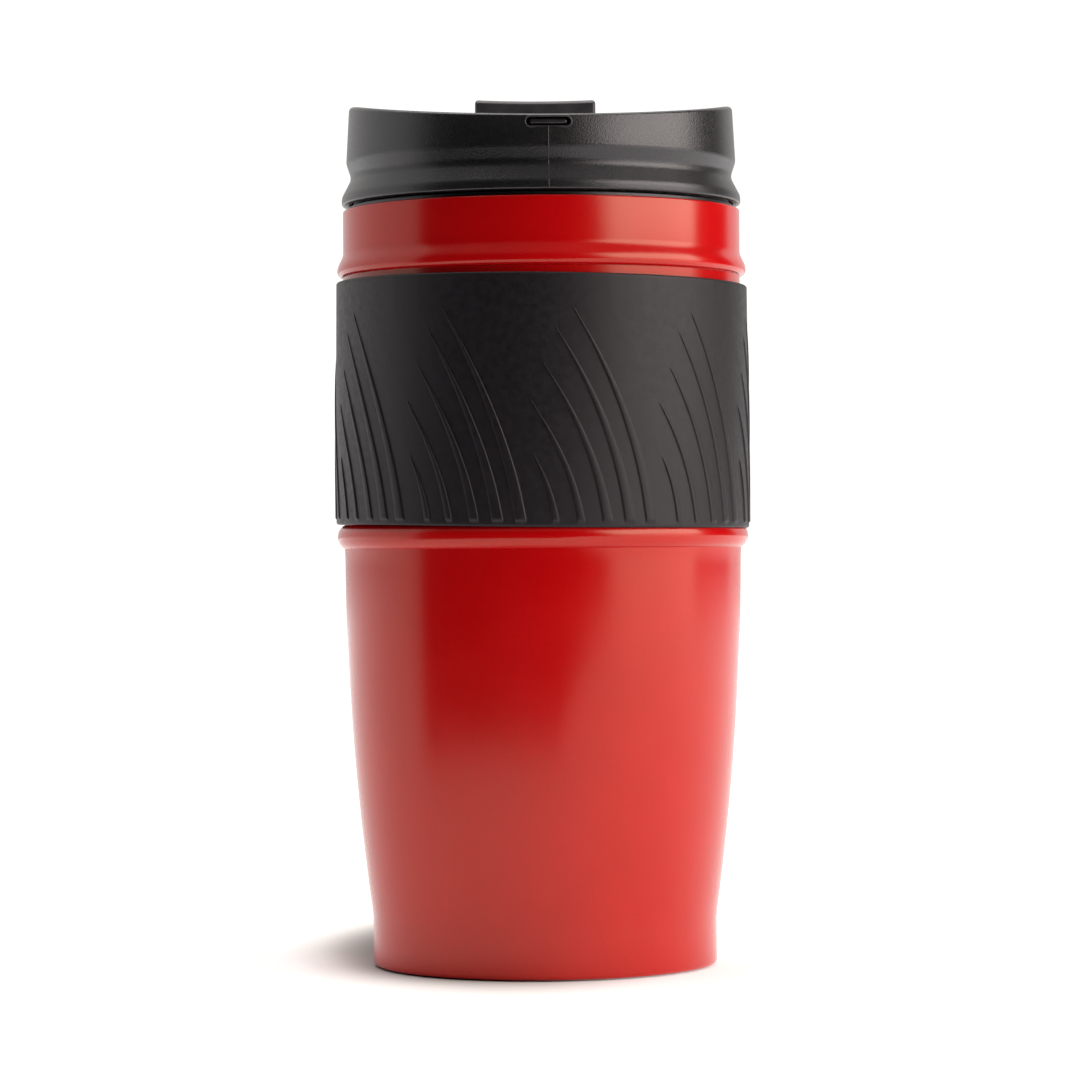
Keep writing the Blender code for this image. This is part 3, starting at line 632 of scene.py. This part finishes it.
def make_collar():
    """The black collar with the inner thread."""
    cup, edge = BELLY_RADIUS - CUP_INSET, COLLAR_EDGE
    bottom, flange, seat = CUP_TOP + GAP, SHELL_TOP + GAP, CUP_TOP + COLLAR_SEAT
    hook = bottom - COLLAR_HOOK
    section = rounded([(COLLAR_BORE, COLLAR_TOP, COLLAR_LIP_FILLET),
                       (COLLAR_FLANGE, COLLAR_TOP, edge), (COLLAR_FLANGE, flange, 0.0),
                       (COLLAR_OUTER, flange, 0.0), (COLLAR_OUTER, hook, edge),
                       (cup + GAP, hook, edge), (cup + GAP, bottom, 0.0),
                       (cup - CUP_WALL, bottom, edge), (cup - CUP_WALL, seat, edge),
                       (COLLAR_BORE, seat + COLLAR_SEAT_SLOPE, COLLAR_SEAT_FILLET)], 3)
    rows = np.arange(seat + COLLAR_ROWS_FROM, COLLAR_TOP - THREAD_MARGIN, THREAD_ROW)
    section += [(COLLAR_BORE, z) for z in rows]
    warp = threaded(COLLAR_BORE, COLLAR_CREST, seat, COLLAR_TOP, COLLAR_LEAD_IN,
                    THREAD["lead"] / THREAD["starts"] / 2.0)
    return revolve("threaded_collar", section, round_angles(THREADED), warp)


def rib_lean(run):
    """How far a rib has leaned over, at a share of its run from the tip."""
    return RIB_BEND * (1.0 - (1.0 - run) ** 2) + (1.0 - RIB_BEND) * run


def rib_column_angles(z):
    """Left edge angle and width in degrees of each rib of a group, at one height."""
    edges = []
    follow = None
    for tip_deg, tip_z, foot_deg, foot_width in reversed(RIBS):
        run = min(1.0, max(0.0, (tip_z - z) / (tip_z - RIB_FOOT_Z)))
        left = tip_deg + (foot_deg - tip_deg) * rib_lean(run)
        if z > tip_z and follow:
            left = tip_deg + follow(z) - follow(tip_z)
        width = math.degrees(foot_width / SLEEVE_RADIUS) * run ** RIB_TAPER
        edges.append((left, max(width, RIB_LEAST_DEG), run))
        follow = left_edge_above(tip_deg, tip_z, foot_deg, follow)
    return edges[::-1]


def left_edge_above(tip_deg, tip_z, foot_deg, above):
    """A rib's left edge angle by height, carried on above its tip beside its neighbour."""
    def angle(z):
        if z > tip_z:
            return tip_deg + (above(z) - above(tip_z) if above else 0.0)
        run = min(1.0, (tip_z - z) / (tip_z - RIB_FOOT_Z))
        return tip_deg + (foot_deg - tip_deg) * rib_lean(run)
    return angle


def group_columns(z):
    """Angles in degrees and height shares of the columns over one group, at one height."""
    angles, heights = [], []
    edges = rib_column_angles(z)
    pitch = 360.0 / RIB_GROUPS
    foot = min(1.0, max(0.0, (z - RIB_FOOT_Z) / RIB_FOOT_RISE[0]))
    for index, (left, width, run) in enumerate(edges):
        rise = RIB_LOW + (1.0 - RIB_LOW) * run / RIB_LOW_RUN
        full = min(1.0, run / RIB_TIP_RUN) * min(1.0, rise) * foot
        for across, height in RIB_SECTION:
            angles.append(left + across * width)
            heights.append(height * full)
        following = edges[index + 1][0] if index + 1 < len(edges) else edges[0][0] + pitch
        last = angles[-1]
        room = following - RIB_SIDE * width - last
        for share in GAP_COLUMNS:
            angles.append(last + share * room)
            heights.append(0.0)
    return np.array(angles), np.array(heights)


def make_sleeve():
    """The silicone sleeve with its leaning ribs."""
    outer = rounded([(SLEEVE_BORE, SLEEVE_TOP, 0.0), (SLEEVE_TOP_RADIUS, SLEEVE_TOP, SLEEVE_FILLET),
                     (SLEEVE_RADIUS, SLEEVE_FULL_Z, 0.0)])[:-1]
    heights = np.arange(SLEEVE_TOP - SLEEVE_ROWS_BELOW, SLEEVE_BOTTOM + SLEEVE_ROWS_ABOVE,
                        -SLEEVE_ROW)
    outer += [(np.interp(z, (SLEEVE_FULL_Z, SLEEVE_TOP), (SLEEVE_RADIUS, SLEEVE_TOP_RADIUS)), z)
              for z in heights]
    outer += [(SLEEVE_RADIUS, RIB_FOOT_Z + rise) for rise in RIB_FOOT_RISE]
    outer += rounded([(SLEEVE_RADIUS, RIB_FOOT_Z, 0.0),
                      (SLEEVE_RADIUS, SLEEVE_BOTTOM, SLEEVE_FILLET),
                      (SLEEVE_BORE + SLEEVE_CHAMFER, SLEEVE_BOTTOM, 0.0),
                      (SLEEVE_BORE, SLEEVE_BOTTOM + SLEEVE_CHAMFER, 0.0)])[1:]
    pitch = 360.0 / RIB_GROUPS
    rows = []
    for radius, z in outer:
        angles, heights = group_columns(z)
        outside = radius > (SLEEVE_BORE + SLEEVE_TOP_RADIUS) / 2.0
        around = np.concatenate([angles + group * pitch for group in range(RIB_GROUPS)])
        lift = np.tile(heights, RIB_GROUPS) * (RIB_HEIGHT if outside else 0.0)
        turn = np.radians(around - 90.0)
        x, y = (radius + lift) * np.cos(turn), (radius + lift) * np.sin(turn)
        sag = SAG_ROUND + SAG_FRONT * np.clip(-y / radius, 0.0, 1.0) ** 2
        sag = sag * np.interp(z, (SAG_FROM_Z, SAG_TO_Z), (1.0, 0.0))
        rows.append(np.stack([x, y, z - sag - SLEEVE_TILT * x / SLEEVE_RADIUS], axis=1))
    return from_bmesh("ribbed_sleeve", grid_bmesh(np.array(rows)), 60.0)


# ================================================================ the lid

def dip_rim(points, angles):
    """Lower the front of the rim and raise the mould's parting line below the catch."""
    x, y, z = points[..., 0], points[..., 1], points[..., 2]
    radius = np.hypot(x, y)
    share = np.clip((z - BULGE_Z) / (RIM_Z - BULGE_Z), 0.0, 1.0) * (radius > DIP_BORE)
    front = np.clip(-y / np.maximum(radius, 1e-6), 0.0, 1.0) ** DIP_SHARPNESS
    points[..., 2] = z - share * RIM_DIP * front
    seam = np.isclose(angles, 1.5 * math.pi, atol=1e-4) & (radius > SEAM_BORE)
    points[..., 0] = x * np.where(seam, SEAM_SCALE, 1.0)
    points[..., 1] = y * np.where(seam, SEAM_SCALE, 1.0)
    return points


def make_lid():
    """Skirt, deck, dish wall and dipped rim, with lugs, openings and the catch's slot."""
    under, foot = DECK_Z - DECK_THICKNESS, COLLAR_TOP + GAP
    section = rounded([(0.0, DECK_Z, 0.0), (DISH_RADIUS, DECK_Z, DISH_FILLET),
                       (DISH_RADIUS, RIM_Z, RIM_INNER_FILLET), (RIM_RADIUS, RIM_Z, RIM_FILLET),
                       (BULGE_RADIUS, BULGE_Z, BULGE_FILLET),
                       (WAIST_RADIUS, WAIST_Z, WAIST_FILLET),
                       (SKIRT_RADIUS, SKIRT_TOP, SKIRT_FILLET), (SKIRT_RADIUS, foot, SKIRT_EDGE),
                       (SKIRT_BORE, foot, 0.0), (SKIRT_BORE, LID_SHOULDER, 0.0),
                       (LID_BORE, LID_SHOULDER, 0.0), (LID_BORE, under, 0.0),
                       (0.0, under, 0.0)], 6)
    near_front = math.radians(270.0) + np.radians(SEAM_COLUMNS_DEG)
    lid = revolve("lid_body", section, round_angles(FINE, near_front), dip_rim)
    low, high = DECK_Z - CUT_BELOW, DECK_Z + CUT_ABOVE
    lug = arc(LUG_RADIUS, 0.0, 180.0, 20, (0.0, HINGE_Z))
    lug += [(-LUG_RADIUS - LUG_FLARE, DECK_Z - LUG_ROOT),
            (LUG_RADIUS + LUG_FLARE, DECK_Z - LUG_ROOT)]
    lugs = [bar_along_x(f"lug{side}", lug, side * LUG_INNER, side * LUG_OUTER, LUG_EDGE)
            for side in (-1, 1)]
    cut(lid, *lugs, operation="UNION")
    sip = slab("sip_cut", oblong(SIP_LENGTH, SIP_WIDTH, centre_y=SIP_Y), low, high)
    vent = slab("vent_cut", circle(VENT_RADIUS, (0.0, VENT_Y)), low, high)
    bore = bar_along_x("bore_cut", circle(PIN_RADIUS + GAP, (0.0, HINGE_Z)), -CUT_HALF, CUT_HALF)
    slot = slab("slot_cut", oblong(SLOT_LENGTH, SLOT_HEIGHT), SLOT_BACK, SLOT_BACK + SLOT_DEPTH)
    slot.rotation_euler.x = math.pi / 2.0
    slot.location.z = CATCH_Z * MM
    return cut(lid, sip, vent, bore, slot)


def make_threaded_ring():
    """The lid's threaded ring."""
    top, bore = DECK_Z - DECK_THICKNESS - GAP, PLUG_RADIUS - PLUG_WALL
    section = rounded([(bore, top, PLUG_TOP_FILLET), (PLUG_RADIUS, top, PLUG_TOP_FILLET),
                       (PLUG_RADIUS, top - PLUG_PLAIN, 0.0)], 3)
    rows = np.arange(top - PLUG_ROWS_FROM, PLUG_BOTTOM + PLUG_ROWS_TO, -THREAD_ROW)
    section += [(PLUG_RADIUS, z) for z in rows]
    section += rounded([(PLUG_RADIUS, PLUG_BOTTOM + THREAD_MARGIN, 0.0),
                        (PLUG_RADIUS, PLUG_BOTTOM, PLUG_LOW_FILLET),
                        (bore, PLUG_BOTTOM, PLUG_LOW_FILLET), (bore, top, 0.0)], 3)[1:-1]
    warp = threaded(PLUG_RADIUS, PLUG_CREST, PLUG_BOTTOM, top, 0.0, 0.0)
    return revolve("threaded_ring", section, round_angles(THREADED), warp)


def make_gasket():
    """The ribbed seal under the lid."""
    low, high = COLLAR_TOP + GAP, LID_SHOULDER - GAP
    bore = PLUG_RADIUS + GAP
    middle = (low + high) / 2.0
    section = rounded([(bore, high, GASKET_BORE_FILLET), (GASKET_RADIUS, high, GASKET_FILLET),
                       (GASKET_RADIUS - GASKET_GROOVE, middle, GASKET_GROOVE_FILLET),
                       (GASKET_RADIUS, low, GASKET_FILLET), (bore, low, GASKET_BORE_FILLET)], 4)
    return revolve("lid_seal", section, round_angles(MIDDLE))


def make_catch():
    """The round catch bar in its slot."""
    section = arc(CATCH_RADIUS, 90.0, 0.0, 6, (0.0, CATCH_HALF))
    section += arc(CATCH_RADIUS, 0.0, -90.0, 6, (0.0, -CATCH_HALF))
    section[0], section[-1] = (0.0, section[0][1]), (0.0, section[-1][1])
    bar = revolve("catch_rod", section, round_angles(24))
    bar.data.transform(Matrix.Translation((0.0, CATCH_Y * MM, CATCH_Z * MM))
                       @ Matrix.Rotation(math.pi / 2.0, 4, "Y"))
    return bar


def make_slot_lip():
    """A fine rounded lip round the catch's slot, lying on the lid's wall."""
    rows = []
    path = oblong(SLOT_LENGTH, SLOT_HEIGHT, 16)
    for index, (x, z) in enumerate(path):
        before, after = Vector(path[index - 1]), Vector(path[(index + 1) % len(path)])
        along = (after - before).normalized()
        outward = Vector((along.y, -along.x))
        ring = []
        for turn in np.linspace(0.0, 2.0 * math.pi, 9)[:-1]:
            off = LIP_TUBE * math.cos(turn)
            radius = LIP_WALL + (LIP_TUBE * math.sin(turn) + LIP_LIFT)
            angle = (x + outward.x * off) / LIP_WALL
            height = CATCH_Z + (z + outward.y * off)
            ring.append((radius * math.sin(angle), -radius * math.cos(angle), height))
        rows.append(ring)
    return from_bmesh("slot_lip", grid_bmesh(np.array(rows)), 80.0)


def make_pin():
    """The hinge pin with domed ends."""
    dome = arc(PIN_RADIUS, PIN_DOME_DEG, 0.0, 5, (0.0, PIN_HALF - PIN_DOME))
    outline = [(0.0, PIN_HALF)] + dome
    outline += [(r, -z) for r, z in outline[::-1]]
    pin = revolve("cap_pin", outline, round_angles(32))
    pin.data.transform(Matrix.Translation((0.0, 0.0, HINGE_Z * MM))
                       @ Matrix.Rotation(math.pi / 2.0, 4, "Y"))
    return pin


# ================================================================ the flip cap

def make_cap():
    """Half-round cap with barrel, thumb tab and seal posts, in one moulding."""
    edge_deg = math.degrees(math.asin(CAP_NEAR_Y / CAP_RADIUS))
    neck = BARREL_HALF - NECK_STEP
    outline = [(-neck, CAP_NEAR_Y), (-neck, 0.0), (neck, 0.0), (neck, CAP_NEAR_Y)]
    outline += arc(CAP_RADIUS, edge_deg, 180.0 - edge_deg, 90)
    cap = slab("cap_moulding", outline, CAP_BOTTOM, CAP_TOP, CAP_EDGE)
    barrel = bar_along_x("barrel", circle(BARREL_RADIUS, (0.0, HINGE_Z), 48), -BARREL_HALF,
                         BARREL_HALF, BARREL_EDGE)
    root = (CAP_BOTTOM + CAP_TOP) / 2.0
    front = [(TAB_FOOT_Y - TAB_ROOT, root)]
    front += [(TAB_FOOT_Y + y, CAP_TOP + z) for y, z in TAB_FRONT_LOW]
    front += [(TAB_TOP_Y + y, CAP_TOP + z) for y, z in TAB_FRONT_HIGH]
    crown = rounded([(TAB_TOP_Y - TAB_CROWN_FROM, TAB_TOP, TAB_CROWN_FILLET),
                     (TAB_TOP_Y + TAB_CROWN_TO, TAB_TOP, TAB_BACK_FILLET),
                     (TAB_BACK_Y, root, 0.0), (TAB_FOOT_Y, root, 0.0)])[:-2]

    def scoop(point):
        share = max(0.0, (point.z - CAP_TOP) / (TAB_TOP - CAP_TOP))
        drop = TAB_SCOOP * share * (1.0 - (point.x / TAB_HALF) ** 2)
        return Vector((point.x, point.y, point.z - drop))

    tab = bar_along_x("tab", front + crown + [(TAB_BACK_Y, root)], -TAB_HALF, TAB_HALF, TAB_EDGE,
                      TAB_SLICES, scoop)
    sip_post = slab("sip_post", oblong(SIP_LENGTH, SIP_WIDTH, centre_y=SIP_Y), SEAL_TOP + GAP, root)
    vent_post = slab("vent_post", circle(VENT_POST_RADIUS, (0.0, VENT_Y)), SEAL_TOP + GAP, root)
    cut(cap, barrel, tab, sip_post, vent_post, operation="UNION")
    bore = bar_along_x("barrel_cut", circle(PIN_RADIUS + BARREL_GAP, (0.0, HINGE_Z)), -CUT_HALF,
                       CUT_HALF)
    return cut(cap, bore)


def make_sip_pad():
    """The sip opening's silicone pad."""
    return slab("sip_pad", oblong(SIP_PAD_LENGTH, SIP_PAD_WIDTH, centre_y=SIP_Y), SEAL_BOTTOM,
                SEAL_TOP, SEAL_EDGE)


def make_vent_pad():
    """The vent's silicone pad."""
    return slab("vent_pad", circle(VENT_PAD_RADIUS, (0.0, VENT_Y)), SEAL_BOTTOM, SEAL_TOP,
                SEAL_EDGE)


# ================================================================ assembly

def place(piece, body, node, material, slot):
    """Give a piece its material and body, and hide the CAD node it replaces; the slot is not used.
    """
    piece.data.materials.clear()
    piece.data.materials.append(material)
    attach(piece, body)
    if node:
        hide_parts(node)


def build_object():
    """Make every piece of the mug."""
    black, gloss, silicone = pebbled_black(), smooth_black(), silicone_black()
    brushed, spun, seal = brushed_steel(), spun_steel(), grey_seal()
    place(make_shell(), "mug", "outer_shell", red_paint(), "red_paint")
    place(make_base_pan(), "mug", "shell_base", spun, "steel")
    place(make_foot(), "mug", "foot_pad", foot_rubber(), "rubber_pad")
    place(make_liner(), "mug", "inner_cup", brushed, "steel")
    place(make_collar(), "mug", "neck_collar", black, "black_plastic")
    place(make_sleeve(), "mug", "grip_sleeve", silicone, "silicone_sleeve")
    place(make_gasket(), "gasket", "lid_gasket", seal, "seal")
    place(make_lid(), "lid", "lid_shell", black, "black_plastic")
    place(make_threaded_ring(), "lid", "lid_plug", black, "black_plastic")
    place(make_catch(), "lid", "catch_bar", gloss, "gloss_black")
    place(make_slot_lip(), "lid", None, gloss, "gloss_black")
    place(make_pin(), "lid", "hinge_pin", spun, "steel")
    place(make_cap(), "cap", "flip_cap", gloss, "gloss_black")
    place(make_sip_pad(), "cap", "sip_stopper", seal, "seal")
    place(make_vent_pad(), "cap", "vent_stopper", seal, "seal")


# ================================================================ studio

def make_camera():
    """Level camera in front of the mug."""
    azimuth = math.radians(CAMERA_AZIMUTH)
    toward = Vector((math.sin(azimuth), -math.cos(azimuth), 0.0))
    right = Vector((math.cos(azimuth), math.sin(azimuth), 0.0))
    camera = bpy.data.objects.new("camera", bpy.data.cameras.new("camera"))
    camera.data.lens = CAMERA_LENS
    camera.location = toward * CAMERA_DISTANCE + Vector((0.0, 0.0, EYE_HEIGHT))
    aim = right * AIM_RIGHT + Vector((0.0, 0.0, EYE_HEIGHT + AIM_UP))
    look = (aim - camera.location).to_track_quat("-Z", "Y")
    roll = Matrix.Rotation(math.radians(-CAMERA_ROLL), 4, "Z")
    camera.rotation_euler = (look.to_matrix().to_4x4() @ roll).to_euler()
    scene.collection.objects.link(camera)
    scene.camera = camera


def soft_light(name, azimuth_deg, elevation_deg, distance, width, height, power, tint, fade):
    """A rectangular soft light, aimed at the mug. Azimuth 0 is the front, + towards +X.

    Fade is the share of its width over which it dims towards its left edge.
    """
    azimuth, elevation = math.radians(azimuth_deg), math.radians(elevation_deg)
    data = bpy.data.lights.new(name, "AREA")
    data.shape = "RECTANGLE"
    data.size, data.size_y, data.energy, data.color = width, height, power, tint
    light = bpy.data.objects.new(name, data)
    direction = Vector((math.sin(azimuth) * math.cos(elevation),
                        -math.cos(azimuth) * math.cos(elevation), math.sin(elevation)))
    light.location = direction * distance + Vector((0.0, 0.0, LIGHT_AIM_Z))
    light.rotation_euler = direction.to_track_quat("Z", "Y").to_euler()
    light.visible_camera = False
    scene.collection.objects.link(light)
    if fade:
        data.use_nodes = True
        tree = data.node_tree
        across = add_node(tree, "ShaderNodeSeparateXYZ")
        position = add_node(tree, "ShaderNodeNewGeometry").outputs["Parametric"]
        tree.links.new(position, across.inputs[0])
        dimmed = smooth_step(tree, across.outputs["X"], 0.0, fade, 0.0, 1.0)
        tree.links.new(dimmed, tree.nodes["Emission"].inputs["Strength"])


def floor_material():
    """Pale floor with a soft shade by the foot and a faint glow of its own further off."""
    material = bpy.data.materials.new("floor_white")
    material.use_nodes = True
    tree = material.node_tree
    shader = tree.nodes["Principled BSDF"]
    shader.inputs["Roughness"].default_value = FLOOR_ROUGHNESS
    shader.inputs["Specular IOR Level"].default_value = 0.0
    shader.inputs["Emission Color"].default_value = (1.0, 1.0, 1.0, 1.0)
    place = add_node(tree, "ShaderNodeNewGeometry").outputs["Position"]
    squashed = vector_math(tree, "MULTIPLY", place, SHADE_SQUASH).outputs["Vector"]
    beside = vector_math(tree, "DISTANCE", squashed, SHADE_CENTRE).outputs["Value"]
    shade = smooth_step(tree, beside, SHADE_FROM, SHADE_TO, SHADE_LEVEL, FLOOR_LEVEL)
    tree.links.new(shade, shader.inputs["Base Color"])
    parts = add_node(tree, "ShaderNodeSeparateXYZ")
    tree.links.new(place, parts.inputs["Vector"])
    aside = add_node(tree, "ShaderNodeMath", operation="ABSOLUTE")
    tree.links.new(parts.outputs["X"], aside.inputs[0])
    away = add_node(tree, "ShaderNodeMath", operation="MULTIPLY_ADD")
    away.inputs[1].default_value = GLOW_ASIDE
    tree.links.new(aside.outputs["Value"], away.inputs[0])
    tree.links.new(parts.outputs["Y"], away.inputs[2])
    near = smooth_step(tree, beside, GLOW_NEAR_FROM, GLOW_NEAR_TO, GLOW_NEAR, GLOW_WIDE)
    back = smooth_step(tree, away.outputs["Value"], GLOW_BACK_FROM, GLOW_BACK_TO, 0.0, GLOW_BACK)
    total = add_node(tree, "ShaderNodeMath", operation="ADD")
    tree.links.new(near, total.inputs[0])
    tree.links.new(back, total.inputs[1])
    tree.links.new(total.outputs["Value"], shader.inputs["Emission Strength"])
    return material


def make_floor():
    """A wide pale floor that ends short of the camera."""
    bm = bmesh.new()
    rim = []
    for degrees in range(-180, 180, FLOOR_STEP):
        front_share = float(np.interp(degrees, FLOOR_TURNS, (0.0, 1.0, 1.0, 0.0)))
        reach = FLOOR_REACH * (FLOOR_FRONT / FLOOR_REACH) ** front_share
        angle = math.radians(degrees)
        rim.append(bm.verts.new((reach * math.sin(angle), -reach * math.cos(angle), FLOOR_Z)))
    bm.faces.new(rim)
    mesh = bpy.data.meshes.new("floor")
    bm.to_mesh(mesh)
    bm.free()
    mesh.materials.append(floor_material())
    floor = bpy.data.objects.new("floor", mesh)
    scene.collection.objects.link(floor)


def make_world():
    """White surroundings that are dark on the camera's side, as in a studio."""
    world = bpy.data.worlds.new("studio")
    scene.world = world
    world.use_nodes = True
    tree = world.node_tree
    background = tree.nodes["Background"]
    background.inputs["Color"].default_value = WORLD_TINT
    coords = add_node(tree, "ShaderNodeTexCoord").outputs["Generated"]
    angle = math.radians(WHITE_CENTRE_DEG)
    centre = (math.sin(angle), -math.cos(angle), 0.0)
    facing = vector_math(tree, "DOT_PRODUCT", coords, centre).outputs["Value"]
    around = smooth_step(tree, facing, WHITE_FROM, WHITE_TO, DARK_LEVEL, WHITE_LEVEL)
    height = add_node(tree, "ShaderNodeSeparateXYZ")
    tree.links.new(coords, height.inputs["Vector"])
    sky = smooth_step(tree, height.outputs["Z"], SKY_FROM, SKY_TO, 0.0, SKY_LEVEL)
    lit = add_node(tree, "ShaderNodeMath", operation="MAXIMUM")
    tree.links.new(around, lit.inputs[0])
    tree.links.new(sky, lit.inputs[1])
    path = add_node(tree, "ShaderNodeLightPath")
    bright = add_node(tree, "ShaderNodeMath", operation="MULTIPLY")
    bright.inputs[1].default_value = BACKGROUND_LEVEL
    tree.links.new(path.outputs["Is Camera Ray"], bright.inputs[0])
    seen = add_node(tree, "ShaderNodeMath", operation="MAXIMUM")
    tree.links.new(lit.outputs["Value"], seen.inputs[0])
    tree.links.new(bright.outputs["Value"], seen.inputs[1])
    tree.links.new(seen.outputs["Value"], background.inputs["Strength"])


def build_studio():
    """Camera, floor, surroundings and lights."""
    scene.view_settings.view_transform = "Standard"
    make_camera()
    make_floor()
    make_world()
    for light in LIGHTS:
        soft_light(*light)


build_object()
build_studio()
